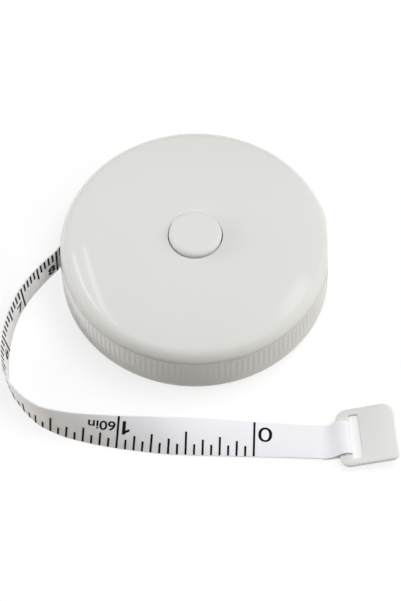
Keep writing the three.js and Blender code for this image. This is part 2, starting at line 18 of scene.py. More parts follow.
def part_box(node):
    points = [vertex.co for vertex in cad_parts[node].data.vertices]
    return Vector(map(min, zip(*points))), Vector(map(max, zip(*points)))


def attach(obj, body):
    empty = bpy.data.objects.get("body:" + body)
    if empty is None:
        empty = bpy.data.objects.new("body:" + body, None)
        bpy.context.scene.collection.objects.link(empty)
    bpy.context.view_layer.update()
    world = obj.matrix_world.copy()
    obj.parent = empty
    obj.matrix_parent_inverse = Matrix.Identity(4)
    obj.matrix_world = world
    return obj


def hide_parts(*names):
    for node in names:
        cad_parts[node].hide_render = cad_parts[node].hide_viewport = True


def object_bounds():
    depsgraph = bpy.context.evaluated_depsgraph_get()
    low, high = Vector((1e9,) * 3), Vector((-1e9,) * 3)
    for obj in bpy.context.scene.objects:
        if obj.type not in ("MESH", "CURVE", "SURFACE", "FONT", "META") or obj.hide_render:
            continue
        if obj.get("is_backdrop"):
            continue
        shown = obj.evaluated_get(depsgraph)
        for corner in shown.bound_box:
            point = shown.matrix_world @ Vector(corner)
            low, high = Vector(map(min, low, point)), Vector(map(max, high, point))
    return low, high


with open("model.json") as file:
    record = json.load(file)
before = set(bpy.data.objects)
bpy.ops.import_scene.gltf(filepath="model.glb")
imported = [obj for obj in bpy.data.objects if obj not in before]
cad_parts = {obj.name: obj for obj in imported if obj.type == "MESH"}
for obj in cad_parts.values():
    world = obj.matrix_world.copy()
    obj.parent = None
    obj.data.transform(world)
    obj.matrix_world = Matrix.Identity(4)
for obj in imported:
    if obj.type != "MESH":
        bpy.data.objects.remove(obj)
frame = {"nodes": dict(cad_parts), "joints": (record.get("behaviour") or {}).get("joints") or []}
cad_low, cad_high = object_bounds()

mm = 0.001
scene = bpy.context.scene
joints = {joint["name"]: joint for joint in frame["joints"]}
print("frame:", sorted(frame["nodes"]), "joints:", sorted(joints))

# %% [markdown]
# ## The camera
# The photograph is 401 by 601 pixels. The round case appears as an ellipse, and the ratio of its axes
# gives the camera's height above the table, 58 degrees. The two ends of the tape's first inch give the
# scale. A long lens far away keeps the far side of the case as large as the near side, as in the
# photograph.

# %% Place the camera
photo_height = 601
focal_pixels = 3715
sensor_side = 36
camera_place = Vector((0, -375.3, 601)) * mm
aim_point = Vector((0.83, -5.17, 0)) * mm
camera_roll = radians(-0.63)

camera_data = bpy.data.cameras.new("camera")
camera_data.sensor_width = sensor_side
camera_data.lens = focal_pixels * sensor_side / photo_height
camera = bpy.data.objects.new("camera", camera_data)
camera.location = camera_place
looking = (aim_point - camera_place).to_track_quat("-Z", "Y")
camera.rotation_mode = "QUATERNION"
camera.rotation_quaternion = looking @ Quaternion((0, 0, 1), camera_roll)
scene.collection.objects.link(camera)
scene.camera = camera
print("lens", round(camera_data.lens, 1), "mm")

# %% [markdown]
# ## From a mesh to a piece
# Every piece is made the same way. A bmesh is turned into a mesh whose faces are smooth except across
# real edges, the new object rides on the body that it belongs to, and the solid that it stands for is
# hidden.

# %% A helper that finishes a piece
crease = radians(32)
merge_distance = 0.001 * mm


def make_piece(name, bm, body, stands_for=(), crease_angle=crease):
    """Turns a bmesh into a smooth piece that rides on a body and replaces the named solids."""
    mesh = bpy.data.meshes.new(name)
    bm.to_mesh(mesh)
    bm.free()
    mesh.shade_smooth()
    mesh.set_sharp_from_angle(angle=crease_angle)
    made = bpy.data.objects.new(name, mesh)
    scene.collection.objects.link(made)
    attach(made, body)
    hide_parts(*stands_for)
    print(name, len(mesh.vertices), "vertices")
    return made


# %% [markdown]
# ## The line of the tape
# The tape leaves the reel, passes the mouth of the case standing on its edge, swings round in a wide bend
# and lies down flat before it reaches its tab. A bezier curve could follow that, but it would not say how
# the tape leans. So the route is a short list of places, each with the lean of the tape's width above
# level, and a smooth curve goes through all of it. The same curve then bends everything that lies on the
# tape: it is all drawn flat first, X along the tape and Y across it, the way it is printed in the
# factory.

# %% A line that flat shapes are bent onto
up = np.array([0, 0, 1])


def unit(rows):
    """Scales each row to length one."""
    return rows / np.linalg.norm(rows, axis=1, keepdims=True)


def smoothed(rows, step):
    """A smooth curve through rows of numbers, whose first three are a place in space."""
    spans = np.linalg.norm(np.diff(rows[:, :3], axis=0), axis=1)
    slopes = np.gradient(rows, np.concatenate([[0], np.cumsum(spans)]), axis=0)
    curve = []
    for i, span in enumerate(spans):
        t = np.linspace(0, 1, ceil(span / step), endpoint=False)[:, None]
        curve.append(
            (2 * t**3 - 3 * t**2 + 1) * rows[i]
            + (t**3 - 2 * t**2 + t) * span * slopes[i]
            + (3 * t**2 - 2 * t**3) * rows[i + 1]
            + (t**3 - t**2) * span * slopes[i + 1]
        )
    return np.concatenate([*curve, rows[-1:]])


class TapeLine:
    """Where a flat strip runs: places in a row, and the direction of its width at each of them."""

    def __init__(self, places, across):
        steps = np.linalg.norm(np.diff(places, axis=0), axis=1)
        self.distances = np.concatenate([[0], np.cumsum(steps)])
        self.length = self.distances[-1]
        along = unit(np.gradient(places, self.distances, axis=0))
        self.places = places
        self.across = unit(across - along * np.sum(across * along, axis=1, keepdims=True))
        self.normal = np.cross(along, self.across)

    def sample(self, rows, at):
        return np.stack([np.interp(at, self.distances, column) for column in rows.T], axis=1)

    def bend(self, bm):
        """Moves a shape that was drawn flat onto the line."""
        flat = np.array([vert.co for vert in bm.verts])
        along, across, above = flat.T
        placed = (
            self.sample(self.places, along)
            + self.sample(self.across, along) * across[:, None]
            + self.sample(self.normal, along) * above[:, None]
        )
        for vert, place in zip(bm.verts, placed):
            vert.co = place


# %% Sizes of the tape and of its winding
tape_width = 7 * mm
tape_thickness = 0.28 * mm
tape_middle = 6.5 * mm
winding_gap = 0.42 * mm
wound_length = 1450 * mm
winding_inner = 9.85 * mm
fit_gap = 0.3 * mm
winding_outer = sqrt(winding_inner**2 + wound_length * (tape_thickness + winding_gap) / pi)
print("the winding is", round(winding_inner / mm, 2), "to", round(winding_outer / mm, 2), "mm in radius")

# Centre line of the free tape: metres, then the lean of its width above level in degrees
free_route = [
    (-0.0263, 0.0002, 0.0065, 90),
    (-0.03, -0.0038, 0.0062, 92),
    (-0.0327, -0.0076, 0.0059, 93),
    (-0.0346, -0.0117, 0.0054, 95),
    (-0.0357, -0.0161, 0.0048, 98),
    (-0.036, -0.0206, 0.0043, 100),
    (-0.0352, -0.0252, 0.0039, 98),
    (-0.0329, -0.0287, 0.0037, 96),
    (-0.0296, -0.0318, 0.0036, 90),
    (-0.0253, -0.0336, 0.00353, 80),
    (-0.0193, -0.03485, 0.00335, 68),
    (-0.0148, -0.0354, 0.00314, 59),
    (-0.0104, -0.0357, 0.00284, 50),
    (-0.0061, -0.0359, 0.00243, 40),
    (-0.0017, -0.0358, 0.0018, 27),
    (0.0042, -0.0358, 0.00107, 14),
    (0.0101, -0.036, 0.00068, 7.5),
    (0.0155, -0.0362, 0.00044, 2.5),
]
exit_point = Vector(free_route[0][:3])

# %% Where the tape leaves its winding
exit_distance = exit_point.to_2d().length
leave_angle = atan2(exit_point.y, exit_point.x) % (2 * pi) - acos(winding_outer / exit_distance)
leave_point = Vector((cos(leave_angle), sin(leave_angle))) * winding_outer
leave_direction = (exit_point.to_2d() - leave_point).normalized()
tangent_length = sqrt(exit_distance**2 - winding_outer**2)
clear_radius = winding_outer + tape_thickness + fit_gap
lead_start = sqrt(clear_radius**2 - winding_outer**2)
lead_points = 3
lead_in = [
    (*(leave_point + leave_direction * distance), tape_middle, 90)
    for distance in np.linspace(lead_start, tangent_length, lead_points, endpoint=False)
]
print("the tape leaves its winding at", [round(x / mm, 1) for x in leave_point], "mm")

# %% [markdown]
# At its end the tape goes over the bar of the tab and back under itself. The bar turns inside that loop
# when the tab swings, so the loop keeps a hair of air round it. The joint of the tab gives the middle of
# the bar.

# %% The loop round the bar
swing = joints["tab_swing"]
bar_centre = Vector(swing["pos_m"])
tab_turn = atan2(swing["axis"][0], -swing["axis"][1])
tab_thickness = 0.85 * mm
loop_air = 0.06 * mm
loop_turn = radians(5)
bar_half = 0.6 * mm
loop_radius = bar_half + loop_air + tape_thickness / 2
loop_tail = 4.6 * mm
table_air = 0.05 * mm
under_height = table_air + tape_thickness / 2
doubled_height = under_height + tape_thickness + loop_air
loop_top = bar_centre.z + loop_radius
loop_bottom = bar_centre.z - loop_radius


def beside_bar(out, height, lean=0):
    """A place so far beyond the bar, at that height, with the lean of the tape there."""
    heading = Vector((cos(loop_turn), sin(loop_turn))) * out
    return bar_centre.x + heading.x, bar_centre.y + heading.y, height, lean


last_flat_place = (0.0214, -0.0366, 0.00054, 0)
climb_start, climb_middle, climb_end = -2.9 * mm, -1.9 * mm, -0.9 * mm
climb_lift = 0.05 * mm
shoulder_drop = 0.14 * mm
approach = [
    last_flat_place,
    beside_bar(climb_start, doubled_height + climb_lift),
    beside_bar(climb_middle, (doubled_height + loop_top) / 2),
    beside_bar(climb_end, loop_top - shoulder_drop),
]
loop_steps = 8
half_turn = [
    beside_bar(loop_radius * sin(turn), bar_centre.z + loop_radius * cos(turn))
    for turn in np.linspace(0, pi, loop_steps + 1)
]
tail_start, tail_middle = -1.5 * mm, -3.4 * mm
tail_drop = 0.04 * mm
tail_lift = 0.03 * mm
tail = [
    beside_bar(tail_start, loop_bottom - tail_drop),
    beside_bar(tail_middle, under_height + tail_lift),
    beside_bar(-loop_tail, under_height),
]
print("the middle of the tape runs round the bar at", round(loop_radius / mm, 2), "mm")

# %% [markdown]
# The lean is turned into a direction at each place of the list, and the curve is drawn through places and
# directions together. Past the bar the tape is upside down, so there its width simply keeps the direction
# of the bar.

# %% The line of the free tape
leaning = np.array(lead_in + free_route + approach)
places = np.array([row[:3] for row in [*leaning, *half_turn, *tail]])
headings = unit(np.gradient(places, axis=0))[: len(leaning)]
level = unit(np.cross(up, headings))
steep = np.cross(headings, level)
lean = np.radians(leaning[:, 3:])
along_bar = np.array([[-sin(loop_turn), cos(loop_turn), 0]] * len(half_turn + tail))
widths = np.concatenate([level * np.cos(lean) + steep * np.sin(lean), along_bar])
station_step = 0.4 * mm
stations = smoothed(np.hstack([places, widths]), station_step)
free_line = TapeLine(stations[:, :3], stations[:, 3:])
from_exit = np.linalg.norm(free_line.places - np.array(exit_point), axis=1)
mouth_distance = free_line.distances[np.argmin(from_exit)]
print("free tape", round(free_line.length / mm, 1), "mm, mouth at", round(mouth_distance / mm, 1))

# %% [markdown]
# ## The tape
# A tape is a thin flat strip with soft edges. A box is rounded along its four long edges, cut into short
# lengths so that it can bend, and given a UV map in metres while it is still flat, so that the weave
# keeps its scale in every bend. Only then is it laid along its line.

# %% Make strips
strip_edge = 0.09 * mm


def lay_uv(bm):
    """Writes the flat place of every corner, in metres, into a UV map."""
    layer = bm.loops.layers.uv.new("flat")
    for face in bm.faces:
        for loop in face.loops:
            loop[layer].uv = loop.vert.co.xy


def flat_strip(length, width, thickness, step, edge_radius):
    """A strip lying along X from the origin, rounded along its edges and cut into short lengths."""
    bm = bmesh.new()
    size = Matrix.Diagonal((length, width, thickness, 1))
    bmesh.ops.create_cube(bm, size=1, matrix=Matrix.Translation((length / 2, 0, 0)) @ size)
    long_edges = [edge for edge in bm.edges if abs(edge.verts[0].co.x - edge.verts[1].co.x) > length / 2]
    bmesh.ops.bevel(
        bm, geom=long_edges, offset=edge_radius, segments=2, profile=0.5, affect="EDGES", material=-1
    )
    long_edges = [edge for edge in bm.edges if abs(edge.verts[0].co.x - edge.verts[1].co.x) > length / 2]
    bmesh.ops.subdivide_edges(bm, edges=long_edges, cuts=ceil(length / step), use_grid_fill=True)
    lay_uv(bm)
    return bm


free_strip = flat_strip(free_line.length, tape_width, tape_thickness, station_step, strip_edge)
free_line.bend(free_strip)
free_tape = make_piece("cloth_tape", free_strip, "case", ["free_tape"])

# %% [markdown]
# ## The print
# The outer face counts inches, in sixteenths, from a full line that is marked 0. The inner face counts
# centimetres. The marks could be an image, but an image blurs up close, so each mark is a thin block of
# ink, drawn flat beside the others and bent onto the tape with the tape's own line. The centimetre marks
# on the photographed tape start two millimetres nearer to the tab than the inch marks do.

# %% Marks of both scales
inch = 25.4 * mm
zero_distance = mouth_distance + 78 * mm
centimetre_zero = zero_distance + 2.1 * mm
inch_mark_width = 0.4 * mm
metric_mark_width = 0.44 * mm
ink_height = 0.015 * mm
sixteenths = 16
scale_start = 3 * mm
first_millimetre = 2
mark_corners = 8
outer_face, inner_face = 1, -1
high_side, low_side = 1, -1
inch_mark_heights = {16: 7.0 * mm, 8: 4.45 * mm, 4: 3.7 * mm, 2: 3.08 * mm, 1: 2.15 * mm}
metric_mark_heights = {10: 7.0 * mm, 5: 4.0 * mm, 1: 2.7 * mm}


def add_mark(bm, distance, width, height, face, edge):
    """One mark across the tape, on its outer or inner face, that starts from one of its two sides."""
    middle = edge * (tape_width - height) / 2
    above = face * (tape_thickness + ink_height) / 2
    size = Matrix.Diagonal((width, height - 2 * strip_edge, ink_height, 1))
    bmesh.ops.create_cube(bm, size=1, matrix=Matrix.Translation((distance, middle, above)) @ size)


def largest_part(count, heights):
    """The mark height of the largest division that this count of the smallest ones makes up."""
    return heights[max(part for part in heights if count % part == 0)]


inch_print = bmesh.new()
for count in range(int((zero_distance - scale_start) / inch * sixteenths) + 1):
    distance = zero_distance - count * inch / sixteenths
    height = largest_part(count, inch_mark_heights)
    add_mark(inch_print, distance, inch_mark_width, height, outer_face, low_side)

metric_print = bmesh.new()
for count in range(first_millimetre, int((centimetre_zero - scale_start) / mm) + 1):
    distance = centimetre_zero - count * mm
    height = largest_part(count, metric_mark_heights)
    add_mark(metric_print, distance, metric_mark_width, height, inner_face, high_side)
print("marks:", len(inch_print.verts) // mark_corners, "inside:", len(metric_print.verts) // mark_corners)

# %% [markdown]
# A figure comes from a text object in the built-in font. Its outline is filled with a few long triangles,
# which could not bend, so the mesh is sliced every third of a millimetre before it is bent. On the outer
# face the figures stand upside down in the photograph, because they are read with the marks at the top.

# %% Figures
slice_step = 0.33 * mm


def typed(text, boldness):
    """The outline of a figure in the built-in font."""
    curve = bpy.data.curves.new("figure", "FONT")
    curve.body = text
    curve.offset = boldness
    writing = bpy.data.objects.new("figure", curve)
    outline = bmesh.new()
    outline.from_mesh(writing.to_mesh())
    writing.to_mesh_clear()
    bpy.data.objects.remove(writing)
    bpy.data.curves.remove(curve)
    return outline


def drawn(corners):
    """The outline of a figure from its own corners."""
    outline = bmesh.new()
    outline.faces.new([outline.verts.new((x, y, 0)) for x, y in corners])
    return outline


def add_figure(bm, outline, distance, across, size, face):
    """A printed number of that width and height: its first side so far along, its middle so far across."""
    corners = np.array([vert.co for vert in outline.verts])
    low, high = corners.min(axis=0), corners.max(axis=0)
    centre = Matrix.Translation((-low[0], -(low + high)[1] / 2, 0))
    scale = Matrix.Diagonal((size[0] / (high - low)[0], size[1] / (high - low)[1], 1, 1))
    bmesh.ops.transform(outline, matrix=scale @ centre, verts=outline.verts)
    for place in np.arange(slice_step, size[0], slice_step):
        everything = [*outline.verts, *outline.edges, *outline.faces]
        bmesh.ops.bisect_plane(outline, geom=everything, plane_co=(place, 0, 0), plane_no=(1, 0, 0))
    bmesh.ops.solidify(outline, geom=outline.faces, thickness=ink_height)
    turned = Matrix.Rotation(pi, 4, "Z" if face > 0 else "Y")
    above = face * (tape_thickness + ink_height) / 2
    placed = Matrix.Translation((distance, across, above)) @ turned
    bmesh.ops.transform(outline, matrix=placed, verts=outline.verts)
    bmesh.ops.recalc_face_normals(outline, faces=outline.faces)
    printed = bpy.data.meshes.new("figure")
    outline.to_mesh(printed)
    outline.free()
    bm.from_mesh(printed)
    bpy.data.meshes.remove(printed)


# %% Put the figures on
outer_middle, inner_middle, label_middle = 1.0 * mm, -1.4 * mm, 1.2 * mm
zero_size = (2.6 * mm, 2.95 * mm)
one_size = (1.35 * mm, 2.8 * mm)
label_size = (5.1 * mm, 2.1 * mm)
inch_size = (1.9 * mm, 2.8 * mm)
centimetre_size = (1.9 * mm, 2.45 * mm)
zero_shift, one_shift, inch_shift = 3.35 * mm, 2.15 * mm, 2.4 * mm
label_shift, centimetre_shift = 0.5 * mm, 2.5 * mm
plain, label_boldness, figure_boldness = 0.0, 0.016, 0.03
one_distance = zero_distance - inch
one_corners = [
    (0.73, 0), (1.35, 0), (1.35, 2.8), (0.85, 2.8), (0.6, 2.4), (0, 2.12), (0, 1.62), (0.73, 1.9)
]

zero, one, label = typed("0", plain), drawn(one_corners), typed("60in", label_boldness)
add_figure(inch_print, zero, zero_distance + zero_shift, outer_middle, zero_size, outer_face)
add_figure(inch_print, one, one_distance + one_shift, outer_middle, one_size, outer_face)
add_figure(inch_print, label, one_distance - label_shift, label_middle, label_size, outer_face)
for inches in (2, 3):
    figure = typed(str(inches), figure_boldness)
    distance = zero_distance - inches * inch + inch_shift
    add_figure(inch_print, figure, distance, outer_middle, inch_size, outer_face)
for centimetre in range(1, 9):
    figure = typed(str(centimetre), figure_boldness)
    distance = centimetre_zero - centimetre * 10 * mm + centimetre_shift
    add_figure(metric_print, figure, distance, inner_middle, centimetre_size, inner_face)

for name, marks in (("inch_marks", inch_print), ("centimetre_marks", metric_print)):
    lay_uv(marks)
    free_line.bend(marks)
    make_piece(name, marks, "case")

# %% [markdown]
# ## The tab
# The tab is a moulded plate with a slot, a little thinner than its solid. Its outline and its slot are
# drawn as two loops with the same number of corners, so that one bridge between them fills the plate with
# clean faces. Pulling it up gives the thickness, and a bevel gives the soft edge. Between the tape's
# edges the bar is narrower on both sides, so that the tab can turn in the loop. The loop grips it, so the
# far end of the tab stands a little above the table, as in the photograph.

# %% Make the tab
tab_length = 10.9 * mm
tab_width = 12 * mm
tab_corners = [1.2 * mm, 2.2 * mm, 2.4 * mm, 2.0 * mm]
bar_width = 2.1 * mm
neck_half = 3.58 * mm
slot_left = 0.86 * mm
slot_size = Vector((1.79, 9.2)) * mm
slot_corners = [0.55 * mm, 0.45 * mm, 0.4 * mm, 0.4 * mm]
tab_edge = 0.33 * mm
tab_lift = radians(8.5)
corner_steps = 8
tab_left = bar_half - bar_width
rim_angle = radians(80)


def add_loop(bm, left, right, half_width, radii, left_side):
    """A rounded rectangle, with a radius for each corner and given points along its left side."""
    corners = [(right, -half_width), (right, half_width), (left, half_width), (left, -half_width)]
    inward = [(-1, 1), (-1, -1), (1, -1), (1, 1)]
    points = []
    for i, radius in enumerate(radii):
        x, y = (corner + radius * side for corner, side in zip(corners[i], inward[i]))
        for angle in np.radians(np.linspace(90 * (i - 1), 90 * i, corner_steps + 1)):
            points.append((x + radius * cos(angle), y + radius * sin(angle)))
        if i == 2:
            points += left_side
    verts = [bm.verts.new((x, y, -tab_thickness / 2)) for x, y in points]
    return [bm.edges.new((a, b)) for a, b in zip(verts, verts[1:] + verts[:1])]


plate = bmesh.new()
neck = [(tab_left, neck_half), (-bar_half, neck_half), (-bar_half, -neck_half), (tab_left, -neck_half)]
slot_side = [(slot_left, neck_half), (bar_half, neck_half), (bar_half, -neck_half), (slot_left, -neck_half)]
outside = add_loop(plate, tab_left, tab_left + tab_length, tab_width / 2, tab_corners, neck)
inside = add_loop(plate, slot_left, slot_left + slot_size.x, slot_size.y / 2, slot_corners, slot_side)
bmesh.ops.bridge_loops(plate, edges=outside + inside)
pulled = bmesh.ops.extrude_face_region(plate, geom=plate.faces[:])
bmesh.ops.translate(
    plate, vec=(0, 0, tab_thickness), verts=[v for v in pulled["geom"] if isinstance(v, bmesh.types.BMVert)]
)
bmesh.ops.remove_doubles(plate, verts=plate.verts, dist=merge_distance)
bmesh.ops.recalc_face_normals(plate, faces=plate.faces)
rims = [edge for edge in plate.edges if edge.is_manifold and edge.calc_face_angle() > rim_angle]
rims = [edge for edge in rims if abs(edge.verts[0].co.z - edge.verts[1].co.z) < tab_thickness / 2]
bmesh.ops.bevel(
    plate,
    geom=rims,
    offset=tab_edge,
    segments=4,
    profile=0.5,
    affect="EDGES",
    clamp_overlap=True,
    material=-1,
)
tab_heading = Matrix.Translation(bar_centre) @ Matrix.Rotation(tab_turn, 4, "Z")
tab_place = tab_heading @ Matrix.Rotation(-tab_lift, 4, "Y")
bmesh.ops.transform(plate, matrix=tab_place, verts=plate.verts)
tab = make_piece("slotted_tab", plate, "tab", ["end_tab"])

# %% [markdown]

# %% [markdown]
# ## The case
# Both shells are turned shapes, so each is one profile that is spun round the axis of the reel. The
# heights come from the imported solids. The top is a low dome that falls faster and faster, until it turns
# down in a small edge. The rim of the lower shell has 144 fine ribs to grip. They could be separate
# blocks, but a moulded rib has no edge at its foot, so the spin gets a multiple of the rib count as its
# steps and the wall is pushed in and out in step with the angle.

# %% Heights and radii of the case
upper_low, upper_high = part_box("upper_shell")
cover_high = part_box("reel_cover")[1]
floor_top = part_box("thrust_washer")[0].z
lip_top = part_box("lower_shell")[1].z
post_top = cover_high.z
skirt_low = upper_low.z
case_top = 15 * mm
case_radius = upper_high.y
flat_side = upper_high.x
reel_gap = 0.6 * mm
case_inner = cover_high.x + reel_gap
lip_thickness = 0.6 * mm
lip_radius = case_inner + lip_thickness
skirt_inner = lip_radius + fit_gap
ceiling_thickness = 1.6 * mm
ceiling_low = case_top - ceiling_thickness
top_edge = 2.6 * mm
bottom_edge = 3.2 * mm
post_bore = 2.1 * mm
post_radius = 3 * mm
rib_depth = 0.07 * mm
rib_count = 144
rib_start = 3.6 * mm
rib_full = 6.5 * mm
rib_fading = 9.4 * mm
rib_end = 10.1 * mm
seam_line = 0.16 * mm
print("case", round(2 * case_radius / mm, 1), "mm across,", round(case_top / mm, 1), "mm high")

# %% Spin profiles


def arc(centre, radius, start, end, steps):
    """Profile points on an arc, from one angle to another in degrees."""
    angles = np.radians(np.linspace(start, end, steps + 1))
    return [(centre[0] + radius * cos(angle), centre[1] + radius * sin(angle)) for angle in angles]


def spun(profile, steps, closed=False):
    """Spins a profile of (radius, height) points round Z. A closed profile comes back to its first point."""
    bm = bmesh.new()
    verts = [bm.verts.new((radius, 0, height)) for radius, height in profile]
    ends = verts[1:] + verts[:1] if closed else verts[1:]
    edges = [bm.edges.new(pair) for pair in zip(verts, ends)]
    bmesh.ops.spin(
        bm, geom=verts + edges, axis=(0, 0, 1), cent=(0, 0, 0), angle=2 * pi, steps=steps, use_merge=True
    )
    bmesh.ops.remove_doubles(bm, verts=bm.verts, dist=merge_distance)
    bmesh.ops.recalc_face_normals(bm, faces=bm.faces)
    return bm


def flatten_side(bm, softness=0.12 * mm):
    """Presses everything beyond the stand flat back to it, with a soft edge."""
    for vert in bm.verts:
        beyond = vert.co.x - flat_side
        vert.co.x -= (beyond + sqrt(beyond**2 + softness**2)) / 2


# %% Lower shell
box_margin = 0.01 * mm
wall = case_radius - rib_depth / 2 - box_margin
wall_steps = 18
bottom_steps = 12
round_steps = 4
rim_tilt = 15
rim_round = 0.22 * mm
steps_per_rib = 6
wall_top = skirt_low - seam_line
lower_profile = [
    (0, 0),
    *arc((wall - bottom_edge, bottom_edge), bottom_edge, -90, 0, bottom_steps),
    *[(wall, z) for z in np.linspace(rib_start, wall_top - rim_round, wall_steps)],
    *arc((wall - rim_round, wall_top - rim_round), rim_round, rim_tilt, 90, round_steps),
    (lip_radius, wall_top),
    (lip_radius, lip_top),
    (case_inner, lip_top),
    (case_inner, floor_top),
    (post_radius, floor_top),
    (post_radius, post_top),
    (post_bore, post_top),
    (post_bore, floor_top),
    (0, floor_top),
]
lower = spun(lower_profile, rib_count * steps_per_rib)
for vert in lower.verts:
    radius = vert.co.xy.length
    if radius > wall - rim_round / 2 and vert.co.z >= rib_start:
        angle = atan2(vert.co.y, vert.co.x)
        rising = (vert.co.z - rib_start) / (rib_full - rib_start)
        falling = (rib_end - vert.co.z) / (rib_end - rib_fading)
        fade = max(0, min(1, rising, falling))
        wave = rib_depth / 2 * cos(rib_count * angle) * fade
        vert.co.xy *= (radius + wave) / radius
flatten_side(lower)
lower_shell = make_piece("ribbed_shell", lower, "case", ["lower_shell"])

# %% [markdown]
# The mouth is cut with a block that runs along the tape's line out of the case. The block widens
# outwards, because a moulded mouth has a lead-in that keeps the tape from being scraped. A second block
# cuts the slot in the post, in which the brake slides.

# %% Cut the mouth and the post
overrun = 1 * mm
mouth_gap = 0.6 * mm
mouth_half = tape_thickness / 2 + mouth_gap
mouth_widening = 1.4
flange_top = 2.7 * mm
mouth_in = sqrt(case_inner**2 - (winding_outer + mouth_half) ** 2) - overrun
mouth_out = sqrt(case_radius**2 - (winding_outer - mouth_half) ** 2) + overrun


def cutting_block(low, high, turn, place):
    """A block between two corners, turned about Z and moved, that only serves as a knife."""
    low, high = Vector(low), Vector(high)
    bm = bmesh.new()
    size = Matrix.Diagonal((*(high - low), 1))
    bmesh.ops.create_cube(bm, size=1, matrix=Matrix.Translation((low + high) / 2) @ size)
    return bm, Matrix.Translation(place) @ Matrix.Rotation(turn, 4, "Z")


def cut(target, bm, placed):
    """Takes the block away from the piece."""
    bmesh.ops.transform(bm, matrix=placed, verts=bm.verts)
    mesh = bpy.data.meshes.new("knife")
    bm.to_mesh(mesh)
    bm.free()
    knife = bpy.data.objects.new("knife", mesh)
    scene.collection.objects.link(knife)
    boolean = target.modifiers.new("cut", "BOOLEAN")
    boolean.operation = "DIFFERENCE"
    boolean.solver = "EXACT"
    boolean.object = knife
    bpy.context.view_layer.update()
    evaluated = target.evaluated_get(bpy.context.evaluated_depsgraph_get())
    whole = bpy.data.meshes.new_from_object(evaluated)
    target.modifiers.clear()
    target.data = whole
    bpy.data.objects.remove(knife)
    print(target.name, "after its cut:", len(whole.vertices), "vertices")


mouth, mouth_place = cutting_block(
    (mouth_in, -mouth_half, flange_top),
    (mouth_out, mouth_half, lip_top + overrun),
    atan2(leave_direction.y, leave_direction.x),
    (*leave_point, 0),
)
for vert in mouth.verts:
    if vert.co.x > mouth_in + mouth_half:
        vert.co.y *= mouth_widening
cut(lower_shell, mouth, mouth_place)

# %% Upper shell
button_hole = 5.14 * mm
hole_round = 0.12 * mm
hole_drop = 0.04 * mm
crown_start = button_hole + 1 * mm
crown_steps, edge_steps, ceiling_steps = 24, 16, 8
edge_start, edge_end = 77, 4
skirt_round = 0.25 * mm
crown_drop = 2 * mm
crown_tilt = radians(13)
crown_reach = case_radius - top_edge * (1 - sin(crown_tilt))
crown_power = tan(crown_tilt) * crown_reach / crown_drop
edge_centre = (case_radius - top_edge, case_top - crown_drop - top_edge * cos(crown_tilt))
pocket_top = lip_top + fit_gap


def crown(start, end, middle, steps):
    """Profile points on the dome, between two radii and under that height in the middle."""
    return [
        (radius, middle - crown_drop * (radius / crown_reach) ** crown_power)
        for radius in np.linspace(start, end, steps + 1)
    ]


collar_inner, collar_outer = 6.5 * mm, 7.3 * mm
collar_low = ceiling_low - 1.8 * mm
upper_profile = [
    (button_hole, ceiling_low),
    *arc((button_hole + hole_round, case_top - hole_drop - hole_round), hole_round, 180, 90, round_steps),
    *crown(crown_start, crown_reach, case_top, crown_steps)[:-1],
    *arc(edge_centre, top_edge, edge_start, edge_end, edge_steps),
    *arc((case_radius - skirt_round, skirt_low + skirt_round), skirt_round, 0, -90, round_steps),
    (skirt_inner, skirt_low),
    (skirt_inner, pocket_top),
    *crown(crown_reach, collar_outer, ceiling_low, ceiling_steps),
    (collar_outer, collar_low),
    (collar_inner, collar_low),
    (collar_inner, ceiling_low),
]
upper_steps = 288
upper = spun(upper_profile, upper_steps, closed=True)
flatten_side(upper)
make_piece("domed_shell", upper, "case", ["upper_shell"])

# %% [markdown]
# ## The button
# The button is a low cap with a broad edge, a quarter of an oval that is wider than it is high. Its
# flange keeps it in the case and its stem reaches down to the brake, so its profile runs from the foot of
# the stem, round the hollow, out over the flange and up to the crown.

# %% Make the button
button_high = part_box("button")[1]
plate_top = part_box("brake_plate")[1].z
button_radius = 4.97 * mm
button_crown = 0.12 * mm
button_edge = 1.2 * mm
button_shoulder = 0.7 * mm
button_top = button_high.z - button_crown
flange_low = 12.3 * mm
flange_high = 13.1 * mm
button_shell = 1.6 * mm
hollow_top = button_top - button_shell
stem_radius = 1.7 * mm
hollow_inner = stem_radius + 0.95 * mm
hollow_outer = button_radius - 1.1 * mm
oval_steps, cap_steps = 12, 6
button_profile = [
    (0, plate_top),
    (stem_radius, plate_top),
    (stem_radius, flange_low),
    (hollow_inner, flange_low),
    (hollow_inner, hollow_top),
    (hollow_outer, hollow_top),
    (hollow_outer, flange_low),
    (button_high.x, flange_low),
    (button_high.x, flange_high),
    (button_radius, flange_high),
    *[
        (button_radius - button_edge * (1 - x), button_top - button_shoulder * (1 - y))
        for x, y in arc((0, 0), 1, 0, 90, oval_steps)
    ],
    *[
        (radius, button_top + button_crown * (1 - (radius / (button_radius - button_edge)) ** 2))
        for radius in np.linspace(button_radius - button_edge, 0, cap_steps + 1)[1:]
    ],
]
button_steps = 144
cap = spun(button_profile, button_steps)
make_piece("push_button", cap, "push_button", ["button"])

# %% [markdown]
# ## What is wound inside
# The reel, the brake and the washer are already the right shape, so they stay and only get their finish.
# The wound tape and the two springs are drawn again, with many more steps to each turn.

# %% Lines in the reel


def spoke_point(angle, out, left):
    """A point beside a spoke of the reel: so far out along it, and so far to its left."""
    return out * cos(angle) - left * sin(angle), out * sin(angle) + left * cos(angle)


def quarter_bend(angle, centre_out, centre_left, radius, start, end, steps=5):
    """Points on a bend between a spoke and a turn of the winding, with its angles in degrees."""
    return [
        spoke_point(angle, centre_out + radius * cos(bend), centre_left + radius * sin(bend))
        for bend in np.radians(np.linspace(start, end, steps + 1))
    ]


